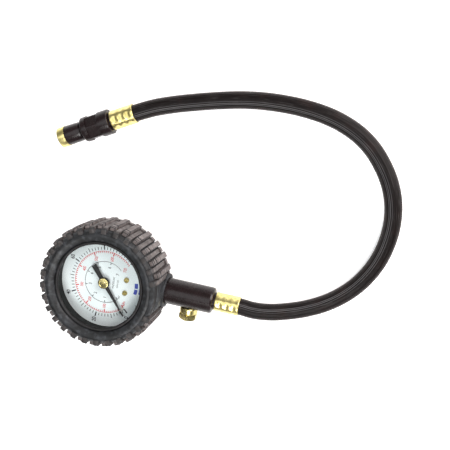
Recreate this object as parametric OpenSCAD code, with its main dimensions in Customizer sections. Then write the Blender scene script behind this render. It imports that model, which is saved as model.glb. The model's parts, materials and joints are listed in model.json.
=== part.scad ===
// Dial tyre pressure gauge: Bourdon tube movement in a steel case and a rubber tread boot,
// black valve block with a bleed button, rubber hose and a straight swivel chuck.
// Millimetres. It lies on its back: Z up along the dial's axis, X along the valve block,
// origin at the centre of the boot's back face.

/* [Boot] */
// Radius over the tread bars
boot_r = 30.8; // [30.2:0.1:31.2]
// Radius at the bottom of the tread grooves
groove_r = 28.4; // [28.2:0.1:28.6]
// Pitches of the tread round the boot
tread_pitches = 29; // [27:1:31]
// Radius of the opening in the front lip
lip_r = 20.6; // [20:0.1:21.5]

/* [Case and dial] */
// Outer radius of the steel case
case_r = 26.5; // [26:0.1:26.8]
// Height of the dial's face above the boot's back
dial_z = 16.0; // [15.8:0.1:16.4]
// Radius of the dial that shows inside the dark ring
dial_r = 22.7; // [22:0.1:23]

/* [Pointer] */
// Length of the pointer's tip from its axis
tip_len = 18.9; // [16:0.1:19.5]
// Length of the pointer's tail from its axis
tail_len = 10.1; // [8:0.1:12]
// Direction of the pointer at rest, degrees from the valve block
rest_angle = -51; // [-55:1:-48]

/* [Valve block] */
// Height of the valve block's axis
stem_z = 7.3; // [7.2:0.1:7.5]
// Radius of the valve block
stem_r = 6.45; // [6:0.05:6.5]
// Place of the valve block's free end
stem_end = 53.6; // [52:0.1:55]
// Place of the bleed button along the valve block
bleed_x = 41.7; // [40:0.1:43]

/* [Hose and chuck] */
// Radius of the hose
hose_r = 4.1; // [3.9:0.05:4.1]
// Radius of the brass ferrules
ferrule_r = 4.7; // [4.6:0.05:5]
// Radius of the chuck's body
chuck_r = 6.1; // [5.9:0.05:6.1]
// Radius of the chuck's mouth, for a tyre valve of 7.7 mm
mouth_r = 4.4; // [4.35:0.05:4.5]

/* [Hidden] */

fine = 96;              // sides asked for on round parts
small = 32;             // the same on small round parts

// Case heights
case_floor = 2.6;       // underside of the steel case
case_t = 0.8;           // sheet thickness
inner_floor = case_floor + case_t;
case_rim = 22.3;        // top of the case wall
dial_t = 0.8;
ring_top = 20.2;        // top of the dark ring round the dial
gasket_t = 0.5;
lens_t = 1.6;
case_in_r = case_r - case_t;
fit_gap = 0.05;         // radial running clearance of shafts and slides

// Boot
boot_cavity_r = case_r + 0.55;
lip_z = 24.6;
lip_round = 0.8;        // rounding of the front lip
stem_gap = 0.25;        // boot to valve block, radial
bar_w = 2.6;            // tread bar, along the circumference
bar_skip = 15.5;        // degrees each side of the valve block without bars
tread_start = 16;       // direction of the first front bar
pitch_a = 360 / tread_pitches;

// Movement: u runs from the pointer shaft towards the sector's arbor
move_a = 45;            // direction of u
gear_m = 0.28;          // gear module
pinion_n = 10;
sector_n = 80;          // teeth on the sector's full circle
pinion_pr = gear_m * pinion_n / 2;
sector_pr = gear_m * sector_n / 2;
arbor_u = pinion_pr + sector_pr;
tail_arm = 4;           // sector arbor to link pin
link_len = 6;
sector_travel = 33.125; // degrees, for 265 degrees of pointer
plate_t = 0.8;
plate_half = 5;
head_t = 0.4;           // height of the movement's screw heads
back_plate_z = 8.5;
front_plate_z = 12.3;
hairspring_z = 14.0;
sector_z = 10.0;
sector_t = 0.8;
link_z = sector_z + sector_t + 0.15;
link_t = 0.6;
arbor_r = 0.5;
pillars = [[-3.4, 3.2], [-3.4, -3.2], [15.0, -3.9]];
base_holes = [[6.0, -3.2], [5.6, 3.2]];
tube_r = 18.2;          // centre line of the Bourdon tube
tube_w = 2.3;
tube_h = 5.8;
tube_wall = 0.4;
tube_root_a = -18;
tube_mid_a = -155;      // where the two halves meet
tube_end_a = -280;
dial_screw_x = 10.7;
dial_screw_y = 3.3;
stop_pin_r = 15.65;     // distance of the stop pin from the pointer's axis
stop_pin_a = -46.4;
block_top = 11.3;       // top of the socket block
block_step = 12.2;      // where its high part begins

// Bleed button, measured outwards from the valve block's axis
bleed_tilt = 8;         // degrees below the horizontal
seat_w = 2.6;
counterbore_w = 3.6;
collar_w = 5.8;
hex_w = 9.2;
hex_h = 3.0;
hex_r = 4.75;
collar_r = 4.4;

// Hose: route of its centre line, from inside the gauge's ferrule to inside the chuck's ferrule
route = [[55.6, 0, 7.3], [61.2, 0, 7.3], [67, 0, 7.3], [74, -0.4, 7], [82, 0.3, 6], [90, 2.3, 4.8],
         [98, 5.3, 4.2], [106, 9.7, 4.1], [113, 15.2, 4.1], [119, 21.8, 4.1], [123.6, 29.2, 4.1],
         [126.8, 37.2, 4.1], [128.5, 45.8, 4.1], [128.7, 54.6, 4.1], [127.2, 63.4, 4.1],
         [124, 71.6, 4.1], [119.3, 79, 4.1], [113, 86, 4.1], [105.5, 91.4, 4.1], [97, 95.2, 4.1],
         [88, 97.6, 4.1], [78, 98.9, 4.1], [68, 99.2, 4.1], [58, 98.7, 4.1], [48, 97.4, 4.1],
         [38, 95.4, 4.1], [28, 93, 4.2], [18.2, 90.3, 4.7], [8.9, 87.1, 5.6], [0, 83, 6.1],
         [-4.9, 80.5, 6.1], [-9.8, 78, 6.1]];
hose_sides = 10;

// Chuck: its axis starts where the hose leaves its ferrule
chuck_at = [0, 83, 6.1];
chuck_yaw = 207;
ferrule_len = 12;
indent_depth = 0.25;    // crimp marks in the ferrules
collar_s = 12.8;
flats_s = 18.2;
flange_s = 24.4;
neck_s = 27.2;
nose_s = 28.4;
tip_s = 36.6;
chuck_len = 40.4;
flats_w = 5.5;          // axis to spanner flat
barb_r = 1.9;
swivel_r = 2.6;
seal_r = 3.9;           // the nose's bore round the gasket

module at_u(u, v, z) rotate(move_a) translate([u, v, z]) children();
module along_x(x, z) translate([x, 0, z]) rotate([0, 90, 0]) children();
module bleed_frame() translate([bleed_x, 0, stem_z]) rotate([90 + bleed_tilt, 0, 0]) children();
module chuck_frame() translate(chuck_at) rotate([0, 0, chuck_yaw]) rotate([0, 90, 0]) children();

// A ring or tube from z0 to z1
module tube(r_in, r_out, z0, z1, sides = fine)
    translate([0, 0, z0]) difference() {
        cylinder(r = r_out, h = z1 - z0, $fn = sides);
        translate([0, 0, -1]) cylinder(r = r_in, h = z1 - z0 + 2, $fn = sides);
    }
module rod(r, z0, z1, sides = small) translate([0, 0, z0]) cylinder(r = r, h = z1 - z0, $fn = sides);
module torus(major, minor, z)
    translate([0, 0, z]) rotate_extrude($fn = 48) translate([major, 0]) circle(r = minor, $fn = 24);

// Frame of a point list: tangent at point i, then two directions square to it
function unit(v) = v / norm(v);
function tangent(p, i) = unit(p[min(i + 1, len(p) - 1)] - p[max(i - 1, 0)]);
function side_of(t) = unit(cross(t, abs(t[2]) > 0.95 ? [1, 0, 0] : [0, 0, 1]));
function ring_points(p, i, r, n) =
    let (t = tangent(p, i), s = side_of(t), w = cross(s, t))
    [for (k = [0 : n - 1]) p[i] + r * (cos(360 * k / n) * s + sin(360 * k / n) * w)];
// A round section of radius r with n sides swept along the points p
module sweep(p, r, n) {
    last = len(p) - 1;
    points = [for (i = [0 : last]) each ring_points(p, i, r, n)];
    sides = [for (i = [0 : last - 1]) for (k = [0 : n - 1])
        each [[i * n + k, i * n + (k + 1) % n, (i + 1) * n + k],
              [(i + 1) * n + k, i * n + (k + 1) % n, (i + 1) * n + (k + 1) % n]]];
    caps = [[for (k = [n - 1 : -1 : 0]) k], [for (k = [0 : n - 1]) last * n + k]];
    polyhedron(points = points, faces = concat(sides, caps));
}
function helix(r, z0, z1, turns, steps = 12) =
    [for (i = [0 : turns * steps]) let (a = 360 * i / steps)
        [r * cos(a), r * sin(a), z0 + (z1 - z0) * i / (turns * steps)]];
// Arc points of radius r about a centre in the (radius, height) plane
function arc(c, r, a0, a1, n = 6) =
    [for (i = [0 : n]) let (a = a0 + (a1 - a0) * i / n) c + r * [cos(a), sin(a)]];

// Boot section: back, rounded back edge, tread floor, shoulder, bulging side wall, lip, cavity
module boot_section()
    polygon(concat(
        [[0, 0], [24.6, 0]],
        arc([groove_r - 4, 4], 4, -85, 0),
        [[groove_r, 6.5], [groove_r, 20.4]],
        arc([groove_r - 3.6, 23.3], 3.6, -5, 88, 8),
        arc([23.6, 24.7], 1.4, 130, 200, 3),
        arc([lip_r + lip_round, lip_z], lip_round, 50, 250, 8),
        [[boot_cavity_r, 23.5], [boot_cavity_r, case_floor], [0, case_floor]]));
// Tread bars: one front and one back bar in each pitch, offset by half a pitch
module tread_band()
    rotate_extrude($fn = fine) polygon([[27.5, 2.6], [29.0, 2.6], [boot_r - 0.1, 4.2], [boot_r, 7.5],
        [boot_r, 20], [boot_r - 0.3, 23.6], [29.9, 25.7], [28.9, 26.8], [26.4, 26.8],
        [26.4, 24.6], [boot_cavity_r + 0.45, 23.8]]);
module tread_bar(a, z0, z1)
    rotate(a) translate([26, -bar_w / 2, z0]) cube([6, bar_w, z1 - z0]);
function bar_at(i) = (tread_start + i * pitch_a) % 360;
function bar_clear(a) = min(a, 360 - a) > bar_skip;
module rubber_boot() color([0.2, 0.2, 0.21]) {
    difference() {
        union() {
            rotate_extrude($fn = fine) boot_section();
            intersection() {
                tread_band();
                for (i = [0 : tread_pitches - 1]) {
                    if (bar_clear(bar_at(i))) tread_bar(bar_at(i), 7, 27);
                    if (bar_clear(bar_at(i + 0.5))) tread_bar(bar_at(i + 0.5), 2.5, 23);
                }
            }
            intersection() {
                along_x(24, stem_z) cylinder(r = stem_r + 2, h = 5.8, $fn = fine);
                translate([boot_cavity_r, -10, 0]) cube([5, 20, 20]);
            }
        }
        along_x(20, stem_z) cylinder(r = stem_r + stem_gap, h = 14, $fn = fine);
    }
}

module case_can() color([0.62, 0.63, 0.65]) difference() {
    rod(case_r, case_floor, case_rim, fine);
    rod(case_in_r, inner_floor, case_rim + 1, fine);
    along_x(22, stem_z) cylinder(r = 5, h = 8, $fn = small);
    translate([-9, 0, 0]) rod(2.5, case_floor - 1, inner_floor + 1);
}
module blowout_plug() color([0.12, 0.12, 0.12]) translate([-9, 0, 0]) {
    rod(2.5, case_floor, inner_floor);
    rod(3.6, inner_floor, inner_floor + 0.5);
}
module case_seal() color([0.1, 0.1, 0.1]) along_x(0, stem_z) tube(3.6, 5, 25.3, 27, small);
module dial_ring() color([0.08, 0.08, 0.08]) tube(dial_r, case_in_r, dial_z, ring_top);
module lens_gasket() color([0.1, 0.1, 0.1]) tube(dial_r + 0.2, case_in_r, ring_top, ring_top + gasket_t);
module lens() color([0.85, 0.9, 0.95, 0.3])
    rod(case_in_r, ring_top + gasket_t, ring_top + gasket_t + lens_t, fine);
module bezel_ring() color([0.15, 0.15, 0.16]) {
    tube(23.2, case_r + 0.45, case_rim, case_rim + 0.8);
    tube(case_r, case_r + 0.45, 18, case_rim);
}

module dial_plate() color([0.87, 0.91, 0.91]) difference() {
    rod(case_in_r - 0.1, dial_z - dial_t, dial_z, fine);
    rod(2, dial_z - 2, dial_z + 1);
    for (s = [-1, 1]) translate([dial_screw_x, s * dial_screw_y, 0]) rod(0.75, dial_z - 2, dial_z + 1);
    rotate(stop_pin_a) translate([stop_pin_r, 0, 0]) rod(0.6, dial_z - 2, dial_z + 1);
}
module dial_posts() color([0.75, 0.62, 0.32])
    for (s = [-1, 1]) translate([dial_screw_x, s * dial_screw_y, 0])
    difference() {
        rod(1.1, back_plate_z + plate_t, dial_z - dial_t);
        rod(0.75, dial_z - dial_t - 2, dial_z);
    }
module dial_screws() color([0.8, 0.68, 0.36])
    for (s = [-1, 1]) translate([dial_screw_x, s * dial_screw_y, 0])
    difference() {
        union() {
            rod(0.75, dial_z - dial_t - 1.9, dial_z);
            rod(1.3, dial_z, dial_z + 0.5);
        }
        translate([-2, -0.2, dial_z + 0.25]) cube([4, 0.4, 1]);
    }
module stop_pin() color([0.85, 0.85, 0.85]) rotate(stop_pin_a) translate([stop_pin_r, 0, 0]) {
    rod(0.6, dial_z - dial_t - 0.3, dial_z);
    rod(0.75, dial_z, dial_z + 2.6);
}

module socket_block() color([0.72, 0.6, 0.33]) difference() {
    union() {
        translate([4, -4.8, inner_floor]) cube([21, 9.6, back_plate_z - inner_floor]);
        translate([block_step, -4.8, inner_floor]) cube([25 - block_step, 9.6, block_top - inner_floor]);
        intersection() {
            tube_arc(tube_root_a, -8, tube_w + 1.2, tube_h + 1);
            translate([10, -8, 0]) cube([12, 8, 20]);
        }
    }
    along_x(18, stem_z) cylinder(r = 3.6, h = 8, $fn = small);
    along_x(10, stem_z) cylinder(r = 0.8, h = 10, $fn = small);
    for (h = base_holes) translate(h) rod(0.55, back_plate_z - 2.5, back_plate_z + 1);
}
// A stretch of a ring of rectangular section about the dial's axis
module tube_arc(a0, a1, w, h)
    rotate(a0) rotate_extrude(angle = a1 - a0, $fn = fine)
        translate([tube_r - w / 2, stem_z - h / 2]) square([w, h]);
module bourdon(a0, a1) color([0.78, 0.6, 0.35]) difference() {
    tube_arc(a0, a1, tube_w, tube_h);
    tube_arc(a0 - 1, a1 + 1, tube_w - 2 * tube_wall, tube_h - 2 * tube_wall);
}
module tube_fixed_half() bourdon(tube_mid_a + 0.7, tube_root_a);
module tube_free_half() bourdon(tube_end_a, tube_mid_a - 0.7);
tip_xy = (arbor_u + tail_arm) * [cos(move_a), sin(move_a)] + link_len * [-sin(move_a), cos(move_a)];
module tube_end_cap() color([0.72, 0.6, 0.33]) {
    tube_arc(tube_end_a - 9, tube_end_a, tube_w + 0.6, tube_h);
    intersection() {
        tube_arc(tube_end_a - 20, tube_end_a - 8, tube_w + 0.6, tube_h + 0.6);
        translate([0, 0, sector_z - 0.2]) rod(30, 0, 0.7, fine);
    }
    translate(tip_xy) rod(0.4, sector_z, link_z + link_t + 0.3);
}

module plate_outline(z) at_u(0, 0, z) linear_extrude(plate_t) difference() {
    translate([-6.4, -plate_half]) square([24.8, 2 * plate_half]);
    for (p = pillars) translate(p) circle(r = arbor_r + fit_gap, $fn = small);
    circle(r = arbor_r + fit_gap, $fn = small);
    translate([arbor_u, 0]) circle(r = arbor_r + fit_gap, $fn = small);
}
module movement_back_plate() color([0.8, 0.69, 0.4]) difference() {
    union() {
        plate_outline(back_plate_z);
        translate([7, -4.6, back_plate_z]) cube([5, 4, plate_t]);
        translate([4.4, -4.6, back_plate_z]) cube([4, 2.8, plate_t]);
        translate([dial_screw_x - 2.5, 1.8, back_plate_z]) cube([4, 3, plate_t]);
    }
    for (h = base_holes) translate(h) rod(0.75, back_plate_z - 1, back_plate_z + 2);
}
module movement_front_plate() color([0.8, 0.69, 0.4]) difference() {
    plate_outline(front_plate_z);
    translate([dial_screw_x, dial_screw_y, 0]) rod(1.6, front_plate_z - 1, front_plate_z + 2);
}
module movement_pillars() color([0.7, 0.58, 0.3]) for (p = pillars) at_u(p[0], p[1], 0) difference() {
    rod(0.9, back_plate_z + plate_t, front_plate_z);
    rod(arbor_r, front_plate_z - 1.5, front_plate_z + 1);
}
module plate_screws() color([0.75, 0.75, 0.76]) for (p = pillars) at_u(p[0], p[1], 0) {
    rod(arbor_r, front_plate_z - 1.5, front_plate_z + plate_t);
    rod(1.0, front_plate_z + plate_t, front_plate_z + plate_t + head_t);
}
module base_screws() color([0.75, 0.75, 0.76]) for (h = base_holes) translate(h) {
    rod(0.55, back_plate_z - 2.4, back_plate_z + plate_t);
    rod(1.1, back_plate_z + plate_t, back_plate_z + plate_t + head_t);
}

// Trapezoid teeth of a full wheel of n teeth, from tooth first to tooth last
function tooth(n, i, width) = let (p = 360 / n, r = gear_m * n / 2, a = i * p)
    [[r - 1.15 * gear_m, a - 0.5 * p], [r - 1.15 * gear_m, a - 0.62 * width * p],
     [r + 0.85 * gear_m, a - 0.22 * width * p], [r + 0.85 * gear_m, a + 0.22 * width * p],
     [r - 1.15 * gear_m, a + 0.62 * width * p]];
function polar(q) = q[0] * [cos(q[1]), sin(q[1])];
function teeth(n, first, last, width) = [for (i = [first : last]) for (q = tooth(n, i, width)) polar(q)];
tooth_width = 0.6;
// The sector hangs from its arbor, its teeth towards the pinion and its tail to the link pin
sector_half_n = 4;
sector_first = -floor(sector_travel / 2 / (360 / sector_n)) - sector_half_n + 1;
module sector_gear() color([0.82, 0.7, 0.4]) {
    at_u(arbor_u, 0, sector_z) rotate(180 - sector_travel / 2) difference() {
        linear_extrude(sector_t) union() {
            difference() {
                polygon(concat([[0, 0]], teeth(sector_n, sector_first, -sector_first + 1, tooth_width)));
                polygon([polar([3, -16]), polar([9.6, -13]), polar([9.6, 13]), polar([3, 16])]);
            }
            circle(r = 2, $fn = small);
            rotate(180) translate([0, -0.9]) square([tail_arm, 1.8]);
            translate([-tail_arm, 0]) circle(r = 0.9, $fn = small);
        }
        rod(arbor_r, -1, 2);
    }
    at_u(arbor_u, 0, 0) rotate(-sector_travel / 2) translate([tail_arm, 0, 0])
        rod(0.4, sector_z + sector_t / 2, link_z + link_t + 0.3);
}
module sector_arbor() color([0.7, 0.7, 0.72]) at_u(arbor_u, 0, 0)
    rod(arbor_r, back_plate_z + 0.05, front_plate_z + plate_t + 0.2);
// Both link ends are at the rest places of their pins
link_from = arbor_u * [1, 0] + tail_arm * [cos(sector_travel / 2), -sin(sector_travel / 2)];
link_to = [arbor_u + tail_arm, link_len];
module link_bar() color([0.72, 0.72, 0.74]) at_u(0, 0, link_z) linear_extrude(link_t) difference() {
    hull() {
        translate(link_from) circle(r = 0.95, $fn = small);
        translate(link_to) circle(r = 1.15, $fn = small);
    }
    translate(link_from) circle(r = 0.4 + fit_gap, $fn = small);
    translate(link_to) circle(r = 0.8, $fn = small);
}

module pointer_shaft() color([0.7, 0.7, 0.72]) rod(arbor_r, back_plate_z + 0.05, dial_z + 2.4);
// The pinion's gap faces the sector tooth that is in mesh at rest
mesh_at = sector_travel / 2 / (360 / sector_n);
pinion_phase = (ceil(mesh_at) - mesh_at) * 360 / pinion_n;
module pinion() color([0.7, 0.7, 0.72]) translate([0, 0, sector_z - 0.4]) rotate(move_a - pinion_phase)
    linear_extrude(1.6)
    difference() {
        polygon([for (i = [0 : pinion_n - 1]) for (q = tooth(pinion_n, i + 0.5, tooth_width)) polar(q)]);
        circle(r = arbor_r, $fn = small);
    }
function spiral(r0, r1, turns, n) = [for (i = [0 : n]) (r0 + (r1 - r0) * i / n) * [cos(360 * turns * i / n),
    sin(360 * turns * i / n)]];
module hairspring() color([0.75, 0.72, 0.6]) translate([0, 0, hairspring_z]) linear_extrude(0.5) {
    difference() {
        circle(r = 1.0, $fn = small);
        circle(r = arbor_r, $fn = small);
    }
    polygon(concat(spiral(0.9, 4.4, 4, 72), [for (i = [72 : -1 : 0]) spiral(0.75, 4.25, 4, 72)[i]]));
}
module hairspring_stud() color([0.75, 0.62, 0.32]) at_u(-5.3, 0, 0)
    rod(0.5, front_plate_z + plate_t, hairspring_z + 0.8);

module pointer_blade() color([0.06, 0.06, 0.06])
    rotate(rest_angle) translate([0, 0, dial_z + 1.4]) difference() {
    union() {
        linear_extrude(0.35) polygon([[tip_len, -0.3], [tip_len, 0.3], [0, 1.0], [-tail_len, 1.3],
            [-tail_len, -1.3], [0, -1.0]]);
        rod(2.85, 0, 0.9, fine);
    }
    rod(arbor_r, -1, 2);
}
module pointer_cap() color([0.78, 0.66, 0.3]) difference() {
    rotate_extrude($fn = fine) polygon([[0, dial_z + 2.3], [2.55, dial_z + 2.3], [2.55, dial_z + 2.7],
        [2.3, dial_z + 3.0], [0.7, dial_z + 3.15], [0, dial_z + 3.15]]);
    rod(arbor_r, dial_z, dial_z + 2.4);
}

module valve_block() color([0.09, 0.08, 0.085]) difference() {
    union() {
        along_x(0, stem_z) rotate_extrude($fn = fine) polygon([[0, 27], [stem_r, 27],
            [stem_r, stem_end - 1.2],
            [stem_r - 0.35, stem_end - 0.35], [stem_r - 1.2, stem_end], [0, stem_end]]);
        along_x(18.5, stem_z) cylinder(r = 3.6, h = 9, $fn = small);
    }
    along_x(10, stem_z) cylinder(r = 1.2, h = 20, $fn = small);
    along_x(29, stem_z) cylinder(r = 2.3, h = 17.2, $fn = small);
    along_x(46, stem_z) cylinder(r = 3.2, h = 10, $fn = small);
    bleed_frame() {
        rod(2.1, 0, seat_w);
        rod(0.9 + fit_gap, 0, 8);
        rod(collar_r + 0.08, counterbore_w, 10, fine);
    }
}
module bleed_button() color([0.8, 0.69, 0.36]) bleed_frame() difference() {
    union() {
        rod(collar_r, collar_w, hex_w, fine);
        intersection() {
            rotate(90) translate([0, 0, hex_w]) cylinder(r = hex_r, h = hex_h, $fn = 6);
            rotate_extrude($fn = fine) polygon([[0, hex_w], [hex_r - 0.3, hex_w], [hex_r, hex_w + 0.3],
                [hex_r, hex_w + hex_h - 0.5], [hex_r - 0.7, hex_w + hex_h], [0, hex_w + hex_h]]);
        }
    }
    tube(1.6, 3.4, collar_w - 1, collar_w + 1.6, small);
    rod(0.9, collar_w - 1, hex_w + 1.5);
}
module bleed_plunger() color([0.75, 0.62, 0.32]) bleed_frame() {
    rod(1.9, 1.2, 1.9);
    rod(0.9, 1.2, hex_w + 1.4);
}
module bleed_seal() color([0.1, 0.1, 0.1]) bleed_frame() torus(1.35, 0.35, 2.25);
module bleed_spring() color([0.75, 0.75, 0.77]) bleed_frame()
    sweep(helix(2.5, counterbore_w + 0.35, collar_w + 1.25, 4), 0.3, 6);

module gauge_hose_barb() color([0.15, 0.14, 0.14]) along_x(0, stem_z) difference() {
    union() {
        rod(3.2, 46.4, stem_end);
        rod(4.2, stem_end, stem_end + 0.9);
        rod(barb_r, stem_end, 65.5);
    }
    rod(1.1, 40, 70);
}
// Crimped sleeve: two rows of indents round it
module ferrule() color([0.86, 0.76, 0.42]) difference() {
    rotate_extrude($fn = fine) polygon([[hose_r, 0.2], [hose_r + 0.2, 0], [ferrule_r - 0.25, 0],
        [ferrule_r, 0.3],
        [ferrule_r, ferrule_len - 0.3], [ferrule_r - 0.25, ferrule_len], [hose_r, ferrule_len]]);
    for (z = [3.4, 8.2]) for (a = [0 : 45 : 315])
        rotate(a + z * 3) translate([ferrule_r - indent_depth, -1.2, z - 1.4]) cube([1, 2.4, 2.8]);
}
module gauge_ferrule() along_x(stem_end + 0.9, stem_z) ferrule();
module hose() color([0.1, 0.09, 0.09]) sweep(route, hose_r, hose_sides);

module chuck_ferrule() chuck_frame() ferrule();
module chuck_hose_barb() color([0.75, 0.64, 0.36]) chuck_frame() difference() {
    union() {
        rod(barb_r, 2, ferrule_len);
        rod(4.2, ferrule_len, ferrule_len + 0.6);
        rod(swivel_r, ferrule_len, 24);
        rod(3.3, 22.7, 24);
    }
    rod(1.1, 0, 30);
}
module swivel_seal() color([0.1, 0.1, 0.1]) chuck_frame() tube(swivel_r + 0.05, 3.3, 21.9, 22.6, small);
module chuck_body() color([0.1, 0.1, 0.105]) chuck_frame() difference() {
    rotate_extrude($fn = fine) polygon([[0, collar_s], [chuck_r - 0.5, collar_s],
        [chuck_r, collar_s + 0.5],
        [chuck_r, neck_s - 0.5], [chuck_r - 0.5, neck_s], [0, neck_s]]);
    for (a = [0 : 60 : 300]) rotate(a) translate([flats_w, -5, flats_s]) cube([3, 10, flange_s - flats_s]);
    rod(swivel_r + 0.08, collar_s - 1, 23);
    rod(3.5, 21.8, neck_s + 1);
}
module chuck_nose() color([0.09, 0.09, 0.095]) chuck_frame() difference() {
    rotate_extrude($fn = fine) polygon([[0, 24.6], [3.5, 24.6], [3.5, neck_s], [3.9, neck_s],
        [3.9, nose_s],
        [4.4, nose_s], [4.6, nose_s + 0.3], [4.8, tip_s - 0.2], [4.6, tip_s], [0, tip_s]]);
    rod(1.3, 24, 30);
    rod(2.5, 27, 32);
    rod(seal_r, 31.2, tip_s + 1, fine);
}
module chuck_tip() color([0.84, 0.72, 0.38]) chuck_frame() rotate_extrude($fn = fine)
    polygon([[mouth_r, tip_s], [4.95, tip_s], [4.95, chuck_len - 0.5], [4.55, chuck_len],
        [mouth_r, chuck_len]]);
module chuck_gasket() color([0.12, 0.12, 0.12]) chuck_frame() tube(1.6, seal_r, 31.2, 33.8, small);
module depressor_pin() color([0.8, 0.69, 0.38]) chuck_frame() {
    rod(0.8, 29.2, 35.6);
    rod(2.2, 30.1, 30.9);
}
module chuck_spring() color([0.75, 0.75, 0.77]) chuck_frame() sweep(helix(1.8, 27.3, 29.8, 3), 0.25, 6);

rubber_boot();
case_can();
blowout_plug();
case_seal();
dial_ring();
lens_gasket();
lens();
bezel_ring();
dial_plate();
dial_posts();
dial_screws();
stop_pin();
socket_block();
tube_fixed_half();
tube_free_half();
tube_end_cap();
link_bar();
movement_back_plate();
movement_front_plate();
movement_pillars();
plate_screws();
base_screws();
sector_gear();
sector_arbor();
pointer_shaft();
pinion();
hairspring();
hairspring_stud();
pointer_blade();
pointer_cap();
valve_block();
bleed_button();
bleed_plunger();
bleed_seal();
bleed_spring();
gauge_hose_barb();
gauge_ferrule();
hose();
chuck_ferrule();
chuck_hose_barb();
swivel_seal();
chuck_body();
chuck_nose();
chuck_tip();
chuck_gasket();
depressor_pin();
chuck_spring();
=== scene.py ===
"""Tyre pressure gauge in a rubber boot, with its hose and swivel chuck: the visual model."""
import json
import math

import bmesh
import bpy
from mathutils import Matrix, Vector


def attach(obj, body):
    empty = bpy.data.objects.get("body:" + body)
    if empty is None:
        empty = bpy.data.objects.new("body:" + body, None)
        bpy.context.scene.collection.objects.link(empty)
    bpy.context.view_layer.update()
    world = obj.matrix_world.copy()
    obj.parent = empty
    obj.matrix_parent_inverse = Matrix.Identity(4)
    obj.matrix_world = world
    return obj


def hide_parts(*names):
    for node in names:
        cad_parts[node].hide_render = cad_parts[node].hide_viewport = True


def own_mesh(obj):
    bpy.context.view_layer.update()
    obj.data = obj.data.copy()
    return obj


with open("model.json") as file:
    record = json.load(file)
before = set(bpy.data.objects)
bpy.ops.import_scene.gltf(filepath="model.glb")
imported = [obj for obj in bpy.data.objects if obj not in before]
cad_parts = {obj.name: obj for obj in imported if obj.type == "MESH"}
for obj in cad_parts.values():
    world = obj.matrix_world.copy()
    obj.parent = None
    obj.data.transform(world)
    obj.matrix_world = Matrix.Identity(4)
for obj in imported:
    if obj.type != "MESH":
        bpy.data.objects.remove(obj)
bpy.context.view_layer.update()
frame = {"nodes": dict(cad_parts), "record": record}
scene = bpy.context.scene
MM = 0.001  # shapes below are in millimetres, scene places in metres

# ---------------------------------------------------------------- camera
# Directions in the scene of the picture's right, its top and the way back to the viewer
CAMERA_RIGHT = (0.9681, 0.1684, -0.1853)
CAMERA_UP = (-0.2, 0.9653, -0.1681)
CAMERA_BACK = (0.1506, 0.1998, 0.9682)
CAMERA_PLACE = (0.0959, 0.096, 0.2862)
FOCAL_LENGTH = 48
SENSOR_WIDTH = 36

camera = bpy.data.objects.new("camera", bpy.data.cameras.new("camera"))
scene.collection.objects.link(camera)
camera.data.lens = FOCAL_LENGTH
camera.data.sensor_width = SENSOR_WIDTH
camera.data.clip_start = 0.01
turn = Matrix((CAMERA_RIGHT, CAMERA_UP, CAMERA_BACK)).transposed()
camera.matrix_world = Matrix.Translation(CAMERA_PLACE) @ turn.to_4x4()
scene.camera = camera


# ---------------------------------------------------------------- shapes
def unit(v):
    """The vector v made one long."""
    return v / max(v.length, 1e-9)


def finish_object(name, bm, materials, angle=32):
    """A mesh object from bm, in millimetres, with smooth faces and sharp edges kept."""
    bmesh.ops.recalc_face_normals(bm, faces=bm.faces)
    mesh = bpy.data.meshes.new(name)
    bm.to_mesh(mesh)
    bm.free()
    mesh.transform(Matrix.Scale(MM, 4))
    for m in materials:
        mesh.materials.append(m)
    mesh.shade_smooth()
    mesh.set_sharp_from_angle(angle=math.radians(angle))
    ob = bpy.data.objects.new(name, mesh)
    scene.collection.objects.link(ob)
    return ob


def arc(centre, r, start, end, n):
    """Points of a circular arc between two angles in degrees, in n steps."""
    points = []
    for i in range(n + 1):
        a = math.radians(start + (end - start) * i / n)
        points.append((centre[0] + r * math.cos(a), centre[1] + r * math.sin(a)))
    return points


def fillet(corners, n=5):
    """An outline with its corners rounded. Each corner is (r, z) or (r, z, rounding)."""
    out = []
    count = len(corners)
    for i, c in enumerate(corners):
        p = Vector(c[:2])
        if len(c) < 3 or c[2] <= 0:
            out.append(tuple(p))
            continue
        a = Vector(corners[i - 1][:2]) - p
        b = Vector(corners[(i + 1) % count][:2]) - p
        half = a.angle(b) / 2
        cut = min(c[2] / math.tan(half), a.length * 0.49, b.length * 0.49)
        first, last = p + unit(a) * cut, p + unit(b) * cut
        for k in range(n + 1):
            t = k / n
            out.append(tuple(first * (1 - t) ** 2 + p * 2 * t * (1 - t) + last * t * t))
    return out


def revolve(bm, profile, place, steps=96, shape=None):
    """A closed outline of (r, z) turned about the z of place. shape(angle, r, z) may change the radius."""
    rings = []
    for r, z in profile:
        if r < 1e-6:
            rings.append([bm.verts.new(place @ Vector((0, 0, z)))])
            continue
        ring = []
        for i in range(steps):
            a = math.tau * i / steps
            radius = shape(a, r, z) if shape else r
            ring.append(bm.verts.new(place @ Vector((radius * math.cos(a), radius * math.sin(a), z))))
        rings.append(ring)
    for a, b in zip(rings, rings[1:] + rings[:1]):
        if len(a) == 1 and len(b) == 1:
            continue
        for i in range(steps):
            j = (i + 1) % steps
            if len(a) == 1:
                quad = (a[0], b[j], b[i])
            elif len(b) == 1:
                quad = (a[i], a[j], b[0])
            else:
                quad = (a[i], a[j], b[j], b[i])
            bm.faces.new(quad)


def hexagon_cut(a, r, half_width):
    """The radius at angle a of a circle of radius r, cut by a hexagon half_width from its middle."""
    sixth = math.pi / 3
    return min(r, half_width / math.cos((a + sixth / 2) % sixth - sixth / 2))


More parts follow.
